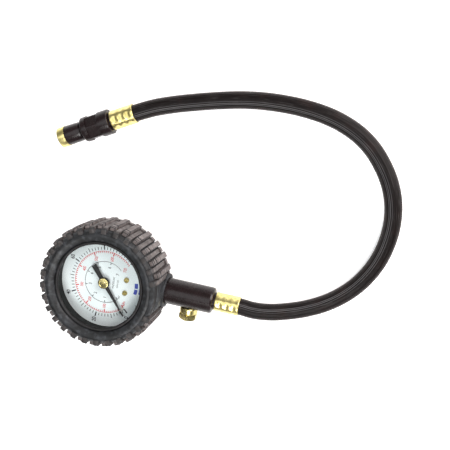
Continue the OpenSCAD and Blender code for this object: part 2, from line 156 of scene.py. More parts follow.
def along(point, direction):
    """A frame whose z runs along direction, starting at point."""
    z = unit(Vector(direction))
    x = unit(Vector((0, 0, 1)).cross(z)) if abs(z.z) < 0.99 else Vector((1, 0, 0))
    y = z.cross(x)
    return Matrix.Translation(Vector(point)) @ Matrix((x, y, z)).transposed().to_4x4()


def round_edges(bm, faces, index, bevel, angle):
    """Give faces one material and round the edges between them that turn by more than angle."""
    for f in faces:
        f.material_index = index
    bmesh.ops.recalc_face_normals(bm, faces=faces)
    edges = dict.fromkeys(e for f in faces for e in f.edges)  # each edge once, always in the same order
    sharp = [e for e in edges if e.calc_face_angle(0) > math.radians(angle)]
    bmesh.ops.bevel(bm, geom=sharp, offset=bevel, segments=2, profile=0.6, affect="EDGES",
                    clamp_overlap=True)


def block(bm, sections, index, bevel):
    """A solid through four-cornered sections, its edges rounded."""
    rows = [[bm.verts.new(p) for p in s] for s in sections]
    faces = [bm.faces.new(rows[0][::-1]), bm.faces.new(rows[-1])]
    for a, b in zip(rows, rows[1:]):
        for i in range(4):
            j = (i + 1) % 4
            faces.append(bm.faces.new((a[i], a[j], b[j], b[i])))
    round_edges(bm, faces, index, bevel, angle=25)


# ---------------------------------------------------------------- materials
BUMP_DEPTH = 0.1 * MM


class Shader:
    """A Principled material whose colour, roughness and bump come from noise."""

    def __init__(self, name, metallic=0.0, specular=0.5):
        self.mat = bpy.data.materials.new(name)
        self.mat.use_nodes = True
        self.tree = self.mat.node_tree
        self.bsdf = self.tree.nodes["Principled BSDF"]
        self.bsdf.inputs["Metallic"].default_value = metallic
        self.bsdf.inputs["Specular IOR Level"].default_value = specular
        self.coord = self.node("ShaderNodeTexCoord").outputs["Object"]

    def node(self, kind, **values):
        """A new node with its properties, or else its input sockets, set by name."""
        n = self.tree.nodes.new(kind)
        for key, value in values.items():
            if hasattr(n, key):
                setattr(n, key, value)
            else:
                n.inputs[key.replace("_", " ")].default_value = value
        return n

    def link(self, a, b):
        self.tree.links.new(a, b)

    def noise(self, scale, detail=3.0, stretch=None, coord=None):
        """Noise with lumps of about 1/scale of a metre."""
        source = coord or self.coord
        if stretch:
            m = self.node("ShaderNodeMapping")
            m.inputs["Scale"].default_value = stretch
            self.link(source, m.inputs["Vector"])
            source = m.outputs["Vector"]
        n = self.node("ShaderNodeTexNoise", Scale=scale, Detail=detail)
        self.link(source, n.inputs["Vector"])
        return n.outputs["Fac"]

    def ramp(self, source, *stops):
        """Colours or greys at positions along source."""
        n = self.node("ShaderNodeValToRGB")
        while len(n.color_ramp.elements) < len(stops):
            n.color_ramp.elements.new(0.5)
        for e, (at, colour) in zip(n.color_ramp.elements, stops):
            e.position = at
            e.color = (*colour, 1) if isinstance(colour, tuple) else (colour, colour, colour, 1)
        self.link(source, n.inputs["Fac"])
        return n.outputs["Color"]

    def mix(self, factor, a, b, kind="MIX"):
        """Colour b over colour a. Each may be a socket or a plain value."""
        n = self.node("ShaderNodeMix", data_type="RGBA", blend_type=kind)
        for socket, value in ((n.inputs[0], factor), (n.inputs[6], a), (n.inputs[7], b)):
            if isinstance(value, bpy.types.NodeSocket):
                self.link(value, socket)
            elif isinstance(value, tuple):
                socket.default_value = (*value, 1)
            else:
                socket.default_value = value
        return n.outputs[2]

    def colour(self, value):
        self.link(value, self.bsdf.inputs["Base Color"])
        return self

    def rough(self, source, low, high):
        self.link(self.ramp(source, (0.3, low), (0.7, high)), self.bsdf.inputs["Roughness"])
        return self

    def bump(self, source, strength):
        n = self.node("ShaderNodeBump", Strength=strength, Distance=BUMP_DEPTH)
        self.link(source, n.inputs["Height"])
        self.link(n.outputs["Normal"], self.bsdf.inputs["Normal"])
        return self


def rubber(name, low, high, rough=(0.5, 0.75), dust=None):
    """Matt rubber between two colours, with fine grain and perhaps pale dust in patches."""
    s = Shader(name, specular=0.35)
    base = s.ramp(s.noise(160), (0.35, low), (0.65, high))
    fine = s.ramp(s.noise(1900, 4), (0.35, 0.75), (0.7, 1.0))
    base = s.mix(0.8, base, fine, "MULTIPLY")
    if dust:
        base = s.mix(s.ramp(s.noise(420, 5), (0.5, 0.0), (0.72, 0.8)), base, dust)
    return s.colour(base).rough(s.noise(350), *rough).bump(s.noise(2600, 4), 0.25).mat


def metal(name, low, high, rough, tarnish=None, bump=0.03):
    """Plain metal between two colours, perhaps with darker tarnish in patches."""
    s = Shader(name, metallic=1.0)
    base = s.ramp(s.noise(180), (0.3, low), (0.72, high))
    if tarnish:
        base = s.mix(s.ramp(s.noise(330, 5), (0.55, 0.0), (0.8, 0.6)), base, tarnish)
    return s.colour(base).rough(s.noise(700, 4), *rough).bump(s.noise(2400), bump).mat


def coat(name, low, high, rough, scuff=(0.05, 0.045, 0.045)):
    """Black lacquer on metal, scuffed in small spots."""
    s = Shader(name, specular=0.3)
    base = s.ramp(s.noise(260), (0.3, low), (0.7, high))
    base = s.mix(s.ramp(s.noise(900, 6), (0.62, 0.0), (0.85, 0.5)), base, scuff)
    return s.colour(base).rough(s.noise(500, 5), *rough).bump(s.noise(1500, 3), 0.02).mat


def ink(name, low, high):
    """Printing ink between two colours."""
    s = Shader(name, specular=0.3)
    s.colour(s.ramp(s.noise(900, 4), (0.35, low), (0.7, high)))
    return s.rough(s.noise(500), 0.45, 0.6).bump(s.noise(3000), 0.1).mat


sidewall_rubber = rubber("sidewall_rubber", (0.005, 0.0055, 0.006), (0.019, 0.021, 0.024),
                         rough=(0.38, 0.62), dust=(0.05, 0.055, 0.062))
# A darker copy of the boot's rubber, without dust: painted shade in the grooves between tread blocks and
# on the recess wall inside the lip
groove_painted_shade = rubber("groove_painted_shade", (0.006, 0.006, 0.0065), (0.013, 0.012, 0.013))
# A lighter, browner copy of the rubber for most tread blocks: painted light on their tops, with real pale
# dust in patches
tread_light_and_dust = rubber("tread_light_and_dust", (0.092, 0.076, 0.073), (0.145, 0.124, 0.12),
                      rough=(0.5, 0.7), dust=(0.2, 0.178, 0.174))
# A darker copy of the rubber for the front knobs all round: painted shade, with pale dust in patches
knob_shade_and_dust = rubber("knob_shade_and_dust", (0.02, 0.018, 0.018), (0.04, 0.035, 0.034),
                     rough=(0.42, 0.6), dust=(0.085, 0.077, 0.075))
# A darker copy of the rubber for the long front bars, which stand lower: painted shade, with pale dust in
# patches
bar_shade_and_dust = rubber("bar_shade_and_dust", (0.058, 0.048, 0.046), (0.1, 0.085, 0.082),
                    rough=(0.5, 0.7), dust=(0.15, 0.133, 0.13))
seal_rubber = rubber("seal_rubber", (0.008, 0.008, 0.008), (0.02, 0.02, 0.02))
brass = metal("brass", (0.52, 0.44, 0.17), (0.68, 0.59, 0.27), (0.16, 0.3), tarnish=(0.38, 0.31, 0.10))
brass_pale = metal("brass_pale", (0.64, 0.55, 0.21), (0.78, 0.68, 0.30), (0.26, 0.34),
                   tarnish=(0.46, 0.38, 0.12), bump=0.01)
brass_plain = metal("brass_plain", (0.55, 0.41, 0.17), (0.72, 0.56, 0.27), (0.28, 0.45))
bronze = metal("bronze", (0.45, 0.25, 0.12), (0.60, 0.36, 0.18), (0.28, 0.45))
steel = metal("steel", (0.45, 0.45, 0.46), (0.62, 0.62, 0.64), (0.22, 0.4))
nickel = metal("nickel", (0.66, 0.64, 0.60), (0.80, 0.78, 0.74), (0.15, 0.3))
black_coat = coat("black_coat", (0.007, 0.0035, 0.0038), (0.012, 0.0065, 0.007), (0.24, 0.3),
                  scuff=(0.022, 0.014, 0.014))
bezel_black = coat("bezel_black", (0.002, 0.002, 0.002), (0.005, 0.005, 0.005), (0.5, 0.65),
                   scuff=(0.012, 0.011, 0.011))
pointer_black = coat("pointer_black", (0.006, 0.006, 0.007), (0.014, 0.014, 0.015), (0.35, 0.5))
black_ink = ink("black_ink", (0.010, 0.012, 0.018), (0.03, 0.032, 0.04))
red_ink = ink("red_ink", (0.50, 0.022, 0.03), (0.62, 0.05, 0.06))
blue_ink = ink("blue_ink", (0.03, 0.05, 0.32), (0.06, 0.09, 0.42))


def dial_finish():
    """The dial's pale, faintly uneven paint."""
    s = Shader("dial_white", specular=0.4)
    base = s.ramp(s.noise(70, 2), (0.3, (0.70, 0.78, 0.79)), (0.7, (0.76, 0.84, 0.845)))
    fine = s.ramp(s.noise(1500, 5), (0.3, 0.96), (0.7, 1.0))
    s.colour(s.mix(1.0, base, fine, "MULTIPLY"))
    return s.rough(s.noise(300), 0.4, 0.55).bump(s.noise(2000), 0.05).mat


def lens_finish():
    """Thin clear plastic: nearly all see-through, with more gloss where it is seen edge on."""
    s = Shader("lens_clear")
    clear = s.node("ShaderNodeBsdfTransparent")
    tint = s.ramp(s.noise(60, 2), (0.3, (0.985, 0.99, 0.99)), (0.7, (1.0, 1.0, 1.0)))
    s.link(tint, clear.inputs["Color"])
    mix = s.node("ShaderNodeMixShader")
    facing = s.node("ShaderNodeLayerWeight", Blend=0.35)
    gloss = s.node("ShaderNodeBsdfGlossy", Roughness=0.04)
    s.link(s.ramp(facing.outputs["Facing"], (0.4, 0.03), (0.97, 0.35)), mix.inputs[0])
    s.link(clear.outputs[0], mix.inputs[1])
    s.link(gloss.outputs[0], mix.inputs[2])
    s.link(mix.outputs[0], s.tree.nodes["Material Output"].inputs["Surface"])
    return s.mat


def hose_finish():
    """Black hose with streaks along it, rusty patches and three thin pale lines down one side that are
    painted highlights on its ribs.
    """
    s = Shader("hose_rubber", specular=0.12)
    uv = s.node("ShaderNodeTexCoord").outputs["UV"]
    streak = s.noise(1.0, 4, (70, 3, 1), uv)
    base = s.ramp(streak, (0.36, (0.003, 0.002, 0.002)), (0.58, (0.006, 0.004, 0.0038)),
                  (0.7, (0.03, 0.028, 0.028)))
    base = s.mix(s.ramp(s.noise(130), (0.5, 0.0), (0.75, 0.35)), base, (0.022, 0.009, 0.007))
    across = s.node("ShaderNodeSeparateXYZ")
    s.link(uv, across.inputs[0])
    # Painted highlights: three thin pale lines down one side of the hose, near its top, where its ribs
    # catch the light
    rib_highlights = s.ramp(across.outputs["X"], (0.150, 0.0), (0.158, 0.8), (0.166, 0.0), (0.178, 0.0),
                   (0.185, 0.9), (0.192, 0.0), (0.215, 0.0), (0.221, 0.5), (0.227, 0.0))
    base = s.mix(rib_highlights, base, (0.15, 0.15, 0.155))
    s.bsdf.inputs["Sheen Weight"].default_value = 0.35
    s.bsdf.inputs["Sheen Roughness"].default_value = 0.3
    s.bsdf.inputs["Sheen Tint"].default_value = (1, 0.86, 0.84, 1)
    return s.colour(base).rough(streak, 0.3, 0.55).bump(s.noise(1.0, 3, (160, 12, 1), uv), 0.3).mat


dial_white = dial_finish()
lens_clear = lens_finish()
hose_rubber = hose_finish()

# ---------------------------------------------------------------- boot
# The boot's materials, by their place in its list: the sidewall's rubber and four copies of it, three
# darker as painted shade and one lighter as painted light
BOOT_PAINTS = [sidewall_rubber, groove_painted_shade, tread_light_and_dust, bar_shade_and_dust, knob_shade_and_dust]
SIDEWALL, GROOVE_SHADE, TREAD_LIT, BAR_SHADE, KNOB_SHADE = range(5)
PITCHES = 29  # times that the tread's pattern would fit in a whole turn
FIRST_BAR = 16  # degrees from the stem
BAR_SKIP = 15.5  # degrees to each side of the stem without tread
GROOVE_R = 28.4
SHOULDER = (24.8, 23.3)  # middle of the front shoulder's curve
SHOULDER_R = 3.6
CAVITY_R = 27.05
FLOOR_Z = 2.6  # inner face of the boot's back
ROOT_R = 28.3  # tread blocks are wider inside this radius
ROOT_FLARE = 0.12

boot_bm = bmesh.new()
section = [(0, 0), (24.5, 0)] + arc((24.4, 4), 4, -85, 0, 9)
section += [(GROOVE_R, 6.5), (GROOVE_R, 13), (GROOVE_R, 20.4)] + arc(SHOULDER, SHOULDER_R, -5, 62, 9)
section += [(26.25, 26.42), (26.1, 26.42), (26.0, 26.72)] + arc(SHOULDER, SHOULDER_R, 74, 92, 3)
section += arc((23.6, 24.7), 1.4, 125, 200, 6) + arc((21.4, 24.6), 0.8, 50, 250, 10)
section += [(22.9, 23.6), (CAVITY_R, 23.5), (CAVITY_R, FLOOR_Z), (0, FLOOR_Z)]
revolve(boot_bm, section, Matrix.Identity(4), steps=192)
# Painted shade: faces between the tread blocks and on the lip's inner wall take the darker groove copy of
# the rubber
for f in boot_bm.faces:
    c = f.calc_center_median()
    r = math.hypot(c.x, c.y)
    between_blocks = r > 28.0 and 3 < c.z < 25
    inside_lip = r < 22.15 and c.z > 20
    if between_blocks or inside_lip:
        f.material_index = GROOVE_SHADE


def bar(mid, outline, half, index, bevel=0.2):
    """One block of the tread at angle mid: an outline in (radius, height), as thick as twice half."""
    c, s = math.cos(math.radians(mid)), math.sin(math.radians(mid))
    rows = []
    for side in (-1, 1):
        row = []
        for r, z in outline:
            t = side * (half + (ROOT_FLARE if r < ROOT_R else 0))
            row.append(boot_bm.verts.new((r * c - t * s, r * s + t * c, z)))
        rows.append(row)
    faces = [boot_bm.faces.new(rows[0]), boot_bm.faces.new(rows[1][::-1])]
    for i in range(len(outline)):
        j = (i + 1) % len(outline)
        faces.append(boot_bm.faces.new((rows[0][i], rows[0][j], rows[1][j], rows[1][i])))
    round_edges(boot_bm, faces, index, bevel, angle=20)


def has_tread(angle):
    """True where an angle in degrees is clear of the smooth pad round the stem."""
    return abs((angle + 180) % 360 - 180) > BAR_SKIP


# Outlines of the five kinds of tread block, in (radius, height)
KNOB = [(26.15, 24.6), (26.15, 26.9), (28.7, 26.9), (29.45, 26.3), (28.0, 24.6)]
FRONT_BAR = [(27.6, 24.7), (29.0, 25.95), (29.4, 25.2), (29.6, 22), (29.65, 15), (29.6, 8.6), (27.6, 8.6)]
END_BLOCK = [(27.6, 7.2), (30.0, 7.2), (30.0, 4.6), (29.2, 2.9), (27.6, 2.9)]
START_BLOCK = [(27.6, 24.0), (30.0, 24.0), (30.55, 23.2), (30.65, 20.9), (27.6, 20.9)]
BACK_BAR = [(27.6, 20.4), (30.77, 20.4), (30.77, 13), (30.77, 6), (30.6, 4), (29.6, 2.4), (27.6, 2.4)]
# Knobs and front bars take the darker copies of the rubber (painted shade), the other blocks the lighter
# one (painted light)
for k in range(PITCHES):
    mid = FIRST_BAR + k * 360 / PITCHES
    if has_tread(mid):
        bar(mid, KNOB, 1.3, KNOB_SHADE)
        bar(mid, FRONT_BAR, 1.12, BAR_SHADE, bevel=0.14)
        bar(mid, END_BLOCK, 1.25, TREAD_LIT)
    mid += 180 / PITCHES
    if has_tread(mid):
        bar(mid, START_BLOCK, 1.25, TREAD_LIT)
        bar(mid, BACK_BAR, 1.3, TREAD_LIT, bevel=0.25)

# Round collar where the stem leaves the boot, flat underneath
STEM_Z = 7.3  # height of the stem's axis
COLLAR_LOW = 0.3
stem = along((0, 0, STEM_Z), (1, 0, 0))
first = len(boot_bm.verts)
revolve(boot_bm, fillet([(6.7, 26.9), (8.5, 26.9), (8.5, 29.8, 0.5), (6.7, 29.8, 0.25)]), stem, steps=72)
boot_bm.verts.ensure_lookup_table()
for v in boot_bm.verts[first:]:
    v.co.z = max(v.co.z, COLLAR_LOW)

# Smooth pad round the collar, in two layers: outer radius, lowest and highest point, half its angle
PAD_ROOT = 27.8
PAD_CHAMFER = 0.4
PAD_STEPS = 24
for r, low, high, reach in ((29.0, 2.8, 22.2, 13.6), (29.35, 3.6, 21.2, 12.4)):
    corners = ((PAD_ROOT, low), (r, low + PAD_CHAMFER), (r, high - PAD_CHAMFER), (PAD_ROOT, high))
    pad = []
    for i in range(PAD_STEPS + 1):
        a = math.radians(-reach + i * 2 * reach / PAD_STEPS)
        pad.append([Vector((q * math.cos(a), q * math.sin(a), z)) for q, z in corners])
    block(boot_bm, pad, SIDEWALL, bevel=0.15)
boot = finish_object("boot", boot_bm, BOOT_PAINTS, angle=34)
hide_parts("rubber_boot")
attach(boot, "gauge")

# ---------------------------------------------------------------- bleed button
BLEED_X = 41.7
BLEED_TURN = 98  # degrees about X, from straight up: the button points to -Y and a little down
HEAD_Z = 9.3  # the button is a hexagon beyond this height along its axis
HEAD_R = 4.75
bleed = Matrix.Translation((BLEED_X, 0, STEM_Z)) @ Matrix.Rotation(math.radians(BLEED_TURN), 4, "X")


def button_head(a, r, z):
    return hexagon_cut(a, r, HEAD_R * math.cos(math.pi / 6)) if z > HEAD_Z else r


# Spring pocket, collar, neck, hexagon, then the bore for the plunger
bleed_outline = [(0.92, 5.8), (1.58, 5.8), (1.58, 7.4), (3.42, 7.4), (3.42, 5.8), (4.1, 5.8),
                 (4.4, 6.2, 0.25), (4.4, 9.0, 0.3), (3.7, 9.1), (3.7, 9.35), (4.5, 9.35, 0.1),
                 (HEAD_R, 9.55), (HEAD_R, 11.8), (4.3, 12.2, 0.15), (0, 12.2), (0, 10.7), (0.92, 10.7)]
bleed_bm = bmesh.new()
revolve(bleed_bm, fillet(bleed_outline), bleed, steps=96, shape=button_head)
button = finish_object("bleed_button_body", bleed_bm, [brass], angle=24)
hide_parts("bleed_button")
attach(button, "bleed")

# ---------------------------------------------------------------- ferrules
FERRULE_IN = 4.12
FERRULE_OUT = 4.7
FERRULE_LONG = 12.0
FERRULE_LIP = 0.8  # thickness of the inward lip at the far end
DENT_DEEP = 0.34
DENT_LONG = 3.4
DENTS_FROM = 0.9  # distance of the dented stretch's ends from the near end
DENTS_TO = 11.1
DENTS_ROUND = 6  # in each ring


def dent(a, r, z):
    """The ferrule's outer radius, pressed in by rings of soft dents."""
    if r < FERRULE_OUT - 0.01 or not DENTS_FROM < z < DENTS_TO:
        return r
    round_part = 0.5 - 0.5 * math.cos(a * DENTS_ROUND)
    along_part = math.sin((z - DENTS_FROM) / DENT_LONG * math.pi) ** 2
    return r - DENT_DEEP * round_part * along_part


def ferrule(name, place, body, node):
    """A crimped brass ferrule: three rings of soft dents between rolled ends."""
    bm = bmesh.new()
    inner, outer, end = FERRULE_IN, FERRULE_OUT, FERRULE_LONG
    rings = [(inner, 0.3), (inner + 0.2, 0.0), (outer - 0.3, 0.0), (outer - 0.08, 0.12), (outer, 0.35)]
    rings += [(outer, 0.35 + i * 0.25) for i in range(1, 46)]
    rings += [(outer - 0.08, end - 0.12), (outer - 0.3, end), (inner - 1.5, end)]
    rings += [(inner - 1.5, end - FERRULE_LIP), (inner, end - FERRULE_LIP)]
    revolve(bm, rings, place, steps=128, shape=dent)
    ob = finish_object(name, bm, [brass_pale], angle=50)
    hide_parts(node)
    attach(ob, body)


HOSE_EXIT_X = 66.5  # where the hose leaves the ferrule on the gauge
CHUCK_START = (0, 83, 6.1)  # where the hose enters the ferrule on the chuck
CHUCK_TURN = math.radians(207)
stem_end = along((HOSE_EXIT_X, 0, STEM_Z), (-1, 0, 0))
chuck = along(CHUCK_START, (math.cos(CHUCK_TURN), math.sin(CHUCK_TURN), 0))
ferrule("gauge_ferrule_body", stem_end, "gauge", "gauge_ferrule")
ferrule("chuck_ferrule_body", chuck, "gauge", "chuck_ferrule")

# ---------------------------------------------------------------- chuck
FLATS_FROM = 18.2  # the body is a hexagon between these distances along the chuck's axis
FLATS_TO = 24.4
FLATS_HALF = 5.3  # from the axis to each of the six flats


def flats(a, r, z):
    return hexagon_cut(a, r, FLATS_HALF) if FLATS_FROM < z < FLATS_TO else r


body_outline = [(2.72, 12.8), (6.1, 12.8, 0.6), (6.1, 18.15, 0.12), (5.95, 18.25), (5.95, 21.3),
                (5.95, 24.35), (6.1, 24.45, 0.15), (6.1, 27.2, 0.6), (3.52, 27.2), (3.52, 21.8),
                (2.72, 21.8)]
body_bm = bmesh.new()
revolve(body_bm, fillet(body_outline), chuck, steps=144, shape=flats)
chuck_body = finish_object("chuck_body_coated", body_bm, [black_coat], angle=26)
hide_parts("chuck_body")
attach(chuck_body, "chuck")

nose_outline = [(1.3, 24.6), (3.5, 24.6), (3.5, 27.2), (3.9, 27.2), (3.9, 28.4), (4.4, 28.4, 0.25),
                (4.62, 29.6), (4.8, 36.45, 0.1), (4.6, 36.6), (3.9, 36.6), (3.9, 31.2), (2.5, 31.2),
                (2.5, 27), (1.3, 27)]
nose_bm = bmesh.new()
revolve(nose_bm, fillet(nose_outline), chuck)
chuck_nose = finish_object("chuck_nose_coated", nose_bm, [black_coat])
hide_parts("chuck_nose")
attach(chuck_nose, "chuck")

tip_outline = [(4.4, 36.6), (4.95, 36.6, 0.12), (4.95, 40.3, 0.6), (4.4, 40.3, 0.15)]
tip_bm = bmesh.new()
revolve(tip_bm, fillet(tip_outline), chuck)
chuck_tip = finish_object("chuck_tip_ring", tip_bm, [brass_pale])
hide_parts("chuck_tip")
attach(chuck_tip, "chuck")

# ---------------------------------------------------------------- springs
COIL_STEPS = 24  # for each turn of a spring
WIRE_SIDES = 12


def coil(name, place, radius, wire, seat, free, turns, node, body):
    """A spring along the z of place, from its seat to its free end, with a mesh of its own."""
    bm = bmesh.new()
    steps, sides = COIL_STEPS * turns, WIRE_SIDES
    rows = []
    for i in range(steps + 1):
        a = math.tau * turns * i / steps
        z = seat + wire + (free - seat - 2 * wire) * i / steps
        row = []
        for k in range(sides):
            b = math.tau * k / sides
            r = radius + wire * math.cos(b)
            point = Vector((r * math.cos(a), r * math.sin(a), z + wire * math.sin(b)))
            row.append(bm.verts.new(place @ point))
        rows.append(row)
    for low, high in zip(rows, rows[1:]):
        for k in range(sides):
            bm.faces.new((low[k], low[(k + 1) % sides], high[(k + 1) % sides], high[k]))
    bm.faces.new(rows[0][::-1])
    bm.faces.new(rows[-1])
    ob = finish_object(name, bm, [steel], angle=60)
    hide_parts(node)
    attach(ob, body)
    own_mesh(ob)


coil("bleed_spring_coil", bleed, radius=2.5, wire=0.3, seat=3.65, free=7.35, turns=4,
     node="bleed_spring", body="gauge")
coil("chuck_spring_coil", chuck, radius=1.8, wire=0.25, seat=27.05, free=30.05, turns=3,
     node="chuck_spring", body="chuck")

# ---------------------------------------------------------------- hose
# The route's points, in millimetres, as in the CAD source
ROUTE = [(55.6, 0, 7.3), (61.2, 0, 7.3), (67, 0, 7.3), (74, -0.4, 7), (82, 0.3, 6), (90, 2.3, 4.8),
         (98, 5.3, 4.2), (106, 9.7, 4.1), (113, 15.2, 4.1), (119, 21.8, 4.1), (123.6, 29.2, 4.1),
         (126.8, 37.2, 4.1), (128.5, 45.8, 4.1), (128.7, 54.6, 4.1), (127.2, 63.4, 4.1),
         (124, 71.6, 4.1), (119.3, 79, 4.1), (113, 86, 4.1), (105.5, 91.4, 4.1), (97, 95.2, 4.1),
         (88, 97.6, 4.1), (78, 98.9, 4.1), (68, 99.2, 4.1), (58, 98.7, 4.1), (48, 97.4, 4.1),
         (38, 95.4, 4.1), (28, 93, 4.2), (18.2, 90.3, 4.7), (8.9, 87.1, 5.6), (0, 83, 6.1),
         (-4.9, 80.5, 6.1), (-9.8, 78, 6.1)]
HOSE_R = 4.08
HOSE_SIDES = 96
RIBS = 24  # fine ribs along the hose
RIB_DEEP = 0.12
WAVE_DEEP = 0.02  # slight waves make it less than perfectly round
UV_LENGTH = 26  # millimetres of hose for one unit of V, close to its girth


def smooth_route(points, steps=6):
    """A curve through points, with this many steps from each to the next."""
    p = [Vector(q) for q in points]
    p = [p[0] * 2 - p[1]] + p + [p[-1] * 2 - p[-2]]
    out = []
    for i in range(1, len(p) - 2):
        for k in range(steps):
            t = k / steps
            a, b, c, d = p[i - 1:i + 3]
            out.append(0.5 * (2 * b + (c - a) * t + (2 * a - 5 * b + 4 * c - d) * t * t
                              + (3 * b - a - 3 * c + d) * t ** 3))
    return out + [p[-2]]


centre = smooth_route(ROUTE)
hose_bm = bmesh.new()
uv = hose_bm.loops.layers.uv.new("UVMap")
length = 0.0
rows = []
distances = []  # from the hose's start to each ring of points
for i, p in enumerate(centre):
    tangent = unit(centre[min(i + 1, len(centre) - 1)] - centre[max(i - 1, 0)])
    side = unit(Vector((0, 0, 1)).cross(tangent))
    top = tangent.cross(side)
    if i:
        length += (p - centre[i - 1]).length
    ring = []
    for k in range(HOSE_SIDES):
        a = math.tau * k / HOSE_SIDES
        groove = RIB_DEEP * abs(math.sin(a * RIBS / 2)) ** 0.6
        wave = WAVE_DEEP * math.sin(a * 5 + length * 0.13)
        r = HOSE_R - groove - wave
        ring.append(hose_bm.verts.new(p + side * r * math.cos(a) + top * r * math.sin(a)))
    rows.append(ring)
    distances.append(length)
for i in range(len(rows) - 1):
    for k in range(HOSE_SIDES):
        j = (k + 1) % HOSE_SIDES
        f = hose_bm.faces.new((rows[i][k], rows[i][j], rows[i + 1][j], rows[i + 1][k]))
        for loop, (u, v) in zip(f.loops, ((k, i), (k + 1, i), (k + 1, i + 1), (k, i + 1))):
            loop[uv].uv = (u / HOSE_SIDES, distances[v] / UV_LENGTH)
hose_bm.faces.new(rows[0][::-1])
hose_bm.faces.new(rows[-1])
hose = finish_object("hose_tube", hose_bm, [hose_rubber], angle=60)
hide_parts("hose")
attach(hose, "gauge")

# ---------------------------------------------------------------- dial printing
DIAL_Z = 16.0  # the dial's face
ZERO_A = -45.0  # degrees at which the scales begin
PER_PSI = 2.7  # degrees
PSI_PER_BAR = 14.504
FULL_PSI = 100
INK_UP = 0.03  # the ink stands this far above the dial
INK_DOWN = 0.02  # and reaches this far into it
# For each scale, the radius that its ticks stand on and the radius of its numbers
PSI_R = 16.3
PSI_NUMBERS_R = 20.4
KPA_R = 15.6
KPA_NUMBERS_R = 12.3
BAR_R = 10.45
BAR_NUMBERS_R = 7.8
RING_WIDE = 0.2


def psi_angle(psi):
    return math.radians(ZERO_A - PER_PSI * psi)


def strip(bm, outline):
    """A flat printed shape, closed all round, lying on the dial."""
    low = [bm.verts.new((x, y, DIAL_Z - INK_DOWN)) for x, y in outline]
    high = [bm.verts.new((x, y, DIAL_Z + INK_UP)) for x, y in outline]
    bm.faces.new(high)
    bm.faces.new(low[::-1])
    for i in range(len(outline)):
        j = (i + 1) % len(outline)
        bm.faces.new((low[i], low[j], high[j], high[i]))


def tick(bm, angle, r0, r1, width):
    """A line from radius r0 to r1."""
    c, s = math.cos(angle), math.sin(angle)
    w = width / 2
    strip(bm, [(r0 * c + w * s, r0 * s - w * c), (r1 * c + w * s, r1 * s - w * c),
               (r1 * c - w * s, r1 * s + w * c), (r0 * c - w * s, r0 * s + w * c)])


def ring_line(bm, r, width, start, end, steps=120):
    """A curved line of radius r between two angles."""
    inner, outer = r - width / 2, r + width / 2
    for i in range(steps):
        a = start + (end - start) * i / steps
        b = start + (end - start) * (i + 1) / steps
        corners = ((inner, a), (outer, a), (outer, b), (inner, b))
        strip(bm, [(q * math.cos(t), q * math.sin(t)) for q, t in corners])


def lettering(bm, text, x, y, size, wide=1.0, bold=0.0):
    """Numbers or unit words on the dial, centred at (x, y) with their tops towards -X."""
    curve = bpy.data.curves.new("lettering", "FONT")
    curve.body = text
    curve.size = size
    curve.align_x = "CENTER"
    curve.align_y = "CENTER"
    curve.extrude = INK_DOWN
    curve.offset = bold
    curve.resolution_u = 6
    ob = bpy.data.objects.new("lettering", curve)
    scene.collection.objects.link(ob)
    bpy.context.view_layer.update()
    mesh = bpy.data.meshes.new_from_object(ob.evaluated_get(bpy.context.evaluated_depsgraph_get()))
    move = Matrix.Translation((x, y, DIAL_Z + INK_UP - INK_DOWN))
    quarter_turn = Matrix.Rotation(math.radians(90), 4, "Z")
    mesh.transform(move @ quarter_turn @ Matrix.Scale(wide, 4, (1, 0, 0)))
    bm.from_mesh(mesh)
    bpy.data.objects.remove(ob)
    bpy.data.curves.remove(curve)
    bpy.data.meshes.remove(mesh)


black_bm, red_bm, blue_bm = bmesh.new(), bmesh.new(), bmesh.new()

# Outer scale, in psi. Its zero stands a little past its tick.
ZERO_SHIFT = 4.6  # degrees
for psi in range(0, FULL_PSI + 1, 2):
    a = psi_angle(psi)
    if psi % 20 == 0:
        tick(black_bm, a, PSI_R, 18.7, 0.62)
    elif psi % 10 == 0:
        tick(black_bm, a, PSI_R, 18.4, 0.36)
    else:
        tick(black_bm, a, PSI_R, 17.7, 0.34)
for psi in range(0, FULL_PSI + 1, 20):
    a = psi_angle(psi) - (math.radians(ZERO_SHIFT) if psi == 0 else 0)
    x, y = PSI_NUMBERS_R * math.cos(a), PSI_NUMBERS_R * math.sin(a)
    lettering(black_bm, str(psi), x, y, 2.9, wide=0.8, bold=0.05)

# Middle scale, in kPa
for kpa in range(0, 691, 10):
    a = psi_angle(kpa / 100 * PSI_PER_BAR)
    if kpa % 100 == 0:
        tick(red_bm, a, 13.9, KPA_R, 0.55)
    else:
        tick(red_bm, a, 14.8, KPA_R, 0.34)
ring_line(red_bm, KPA_R, RING_WIDE, psi_angle(0), psi_angle(FULL_PSI))
for kpa in range(100, 701, 100):
    a = psi_angle(kpa / 100 * PSI_PER_BAR)
    x, y = KPA_NUMBERS_R * math.cos(a), KPA_NUMBERS_R * math.sin(a)
    lettering(red_bm, str(kpa), x, y, 2.3, wide=0.68, bold=0.02)

# Inner scale, in bar
for tenth in range(0, 70):
    a = psi_angle(tenth / 10 * PSI_PER_BAR)
    if tenth % 10 == 0:
        tick(black_bm, a, BAR_R - 1.15, BAR_R, 0.36)
    elif tenth % 5 == 0:
        tick(black_bm, a, BAR_R - 0.6, BAR_R, 0.12)
    else:
        tick(black_bm, a, BAR_R - 0.35, BAR_R, 0.12)
ring_line(black_bm, BAR_R, RING_WIDE, psi_angle(0), psi_angle(FULL_PSI))
for bar_value in range(1, 8):
    a = psi_angle(bar_value * PSI_PER_BAR)
    x, y = BAR_NUMBERS_R * math.cos(a), BAR_NUMBERS_R * math.sin(a)
    lettering(black_bm, str(bar_value), x, y, 2.2, wide=0.86, bold=0.02)

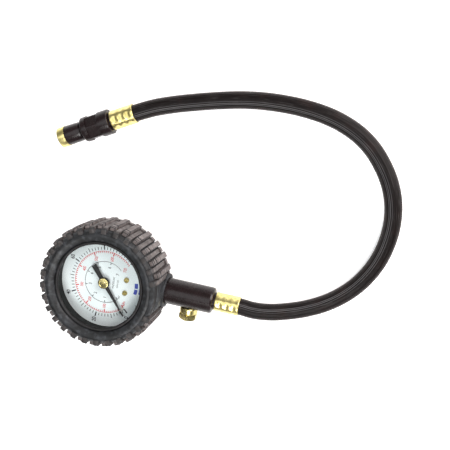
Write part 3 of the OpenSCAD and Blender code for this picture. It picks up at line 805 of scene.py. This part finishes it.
# Units, a plain title and three plain blue bars
lettering(black_bm, "bar", 7.9, -6.2, 1.5)
lettering(red_bm, "kPa", 10.9, -8.8, 1.7, bold=0.02)
lettering(black_bm, "psi", 17.3, -9.2, 1.8, bold=0.02)
lettering(black_bm, "PRESSURE", 4.3, 0.6, 1.35)
lettering(black_bm, "GAUGE", 6.4, 0.4, 1.2)
for low, high, r0, r1 in ((-10.5, -1.2, 15.2, 16.9), (0.4, 9.5, 15.2, 16.9), (-8, 7, 17.6, 18.5)):
    ring_line(blue_bm, (r0 + r1) / 2, r1 - r0, math.radians(low), math.radians(high), steps=8)
for name, bm, paint in (("dial_print_black", black_bm, black_ink), ("dial_print_red", red_bm, red_ink),
                        ("dial_print_blue", blue_bm, blue_ink)):
    ob = finish_object(name, bm, [paint], angle=20)
    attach(ob, "gauge")

# ---------------------------------------------------------------- pointer cap
# A rounded rim, a shallow groove and a raised middle
cap_outline = [(0, 18.2), (2.55, 18.2), (2.55, 18.95, 0.2), (1.9, 19.05, 0.1), (1.75, 18.92),
               (1.0, 18.98), (0.85, 19.12), (0, 19.14)]
cap_bm = bmesh.new()
revolve(cap_bm, fillet(cap_outline), Matrix.Identity(4), steps=72)
cap = finish_object("pointer_cap_turned", cap_bm, [brass])
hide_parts("pointer_cap")
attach(cap, "pointer")

# ---------------------------------------------------------------- finishes of the CAD pieces
FINISH = {
    "boot_rubber": sidewall_rubber, "hose_rubber": hose_rubber, "seal_rubber": seal_rubber,
    "black_coat": black_coat, "bezel_black": bezel_black, "pointer_black": pointer_black,
    "dial_white": dial_white, "brass": brass, "brass_plain": brass_plain, "bronze": bronze,
    "steel": steel, "nickel": nickel, "lens_clear": lens_clear,
}
slots = {part["node"]: part["material_slot"] for part in frame["record"]["subparts"]}
for name, ob in frame["nodes"].items():
    for s in ob.material_slots:
        s.material = FINISH[slots[name]]

# ---------------------------------------------------------------- floor and light
FLOOR_HALF = 5000  # millimetres
FLOOR_PLACE = (0.05, 0.05, -0.0003)
FLOOR_GLOW = 0.45  # keeps the paper nearly white, as in the photograph


def floor_finish():
    """White paper."""
    s = Shader("floor_paper", specular=0.1)
    s.bsdf.inputs["Emission Color"].default_value = (1, 1, 1, 1)
    s.bsdf.inputs["Emission Strength"].default_value = FLOOR_GLOW
    s.colour(s.ramp(s.noise(30), (0.3, 0.93), (0.7, 0.96)))
    return s.rough(s.noise(80), 0.85, 0.95).bump(s.noise(900), 0.05).mat


floor_bm = bmesh.new()
bmesh.ops.create_grid(floor_bm, x_segments=8, y_segments=8, size=FLOOR_HALF)
floor = finish_object("floor", floor_bm, [floor_finish()])
floor.location = FLOOR_PLACE

# Surroundings nearly white at the horizon and below, and grey overhead, for darker reflections
HAZE = ((0.12, (0.94, 0.935, 0.93, 1)), (0.42, (0.22, 0.218, 0.216, 1)))
world = bpy.data.worlds.new("studio")
scene.world = world
world.use_nodes = True
sky = world.node_tree
height = sky.nodes.new("ShaderNodeSeparateXYZ")
sky.links.new(sky.nodes.new("ShaderNodeTexCoord").outputs["Generated"], height.inputs[0])
haze = sky.nodes.new("ShaderNodeValToRGB")
for element, (position, colour) in zip(haze.color_ramp.elements, HAZE):
    element.position = position
    element.color = colour
sky.links.new(height.outputs["Z"], haze.inputs["Fac"])
sky.links.new(haze.outputs["Color"], sky.nodes["Background"].inputs["Color"])
scene.view_settings.view_transform = "Standard"


def lamp(name, at, towards, size, power, tint):
    """A soft box of this size in metres, aimed from one place towards another."""
    light = bpy.data.lights.new(name, "AREA")
    light.shape = "RECTANGLE"
    light.size, light.size_y = size
    light.energy = power
    light.color = tint
    ob = bpy.data.objects.new(name, light)
    ob.location = at
    ob.rotation_euler = (Vector(at) - Vector(towards)).to_track_quat("Z", "Y").to_euler()
    scene.collection.objects.link(ob)


lamp("key", at=(0.17, -0.34, 0.59), towards=(0.02, 0, 0), size=(0.28, 0.28), power=3.6,
     tint=(1, 0.99, 0.98))
lamp("side", at=(0.42, 0.40, 0.36), towards=(0.02, 0.02, 0), size=(0.5, 0.4), power=5.5,
     tint=(1, 0.93, 0.91))
lamp("overhead", at=(-0.15, 0.1, 0.8), towards=(0.05, 0.05, 0), size=(0.6, 0.6), power=2.2,
     tint=(0.97, 0.98, 1))
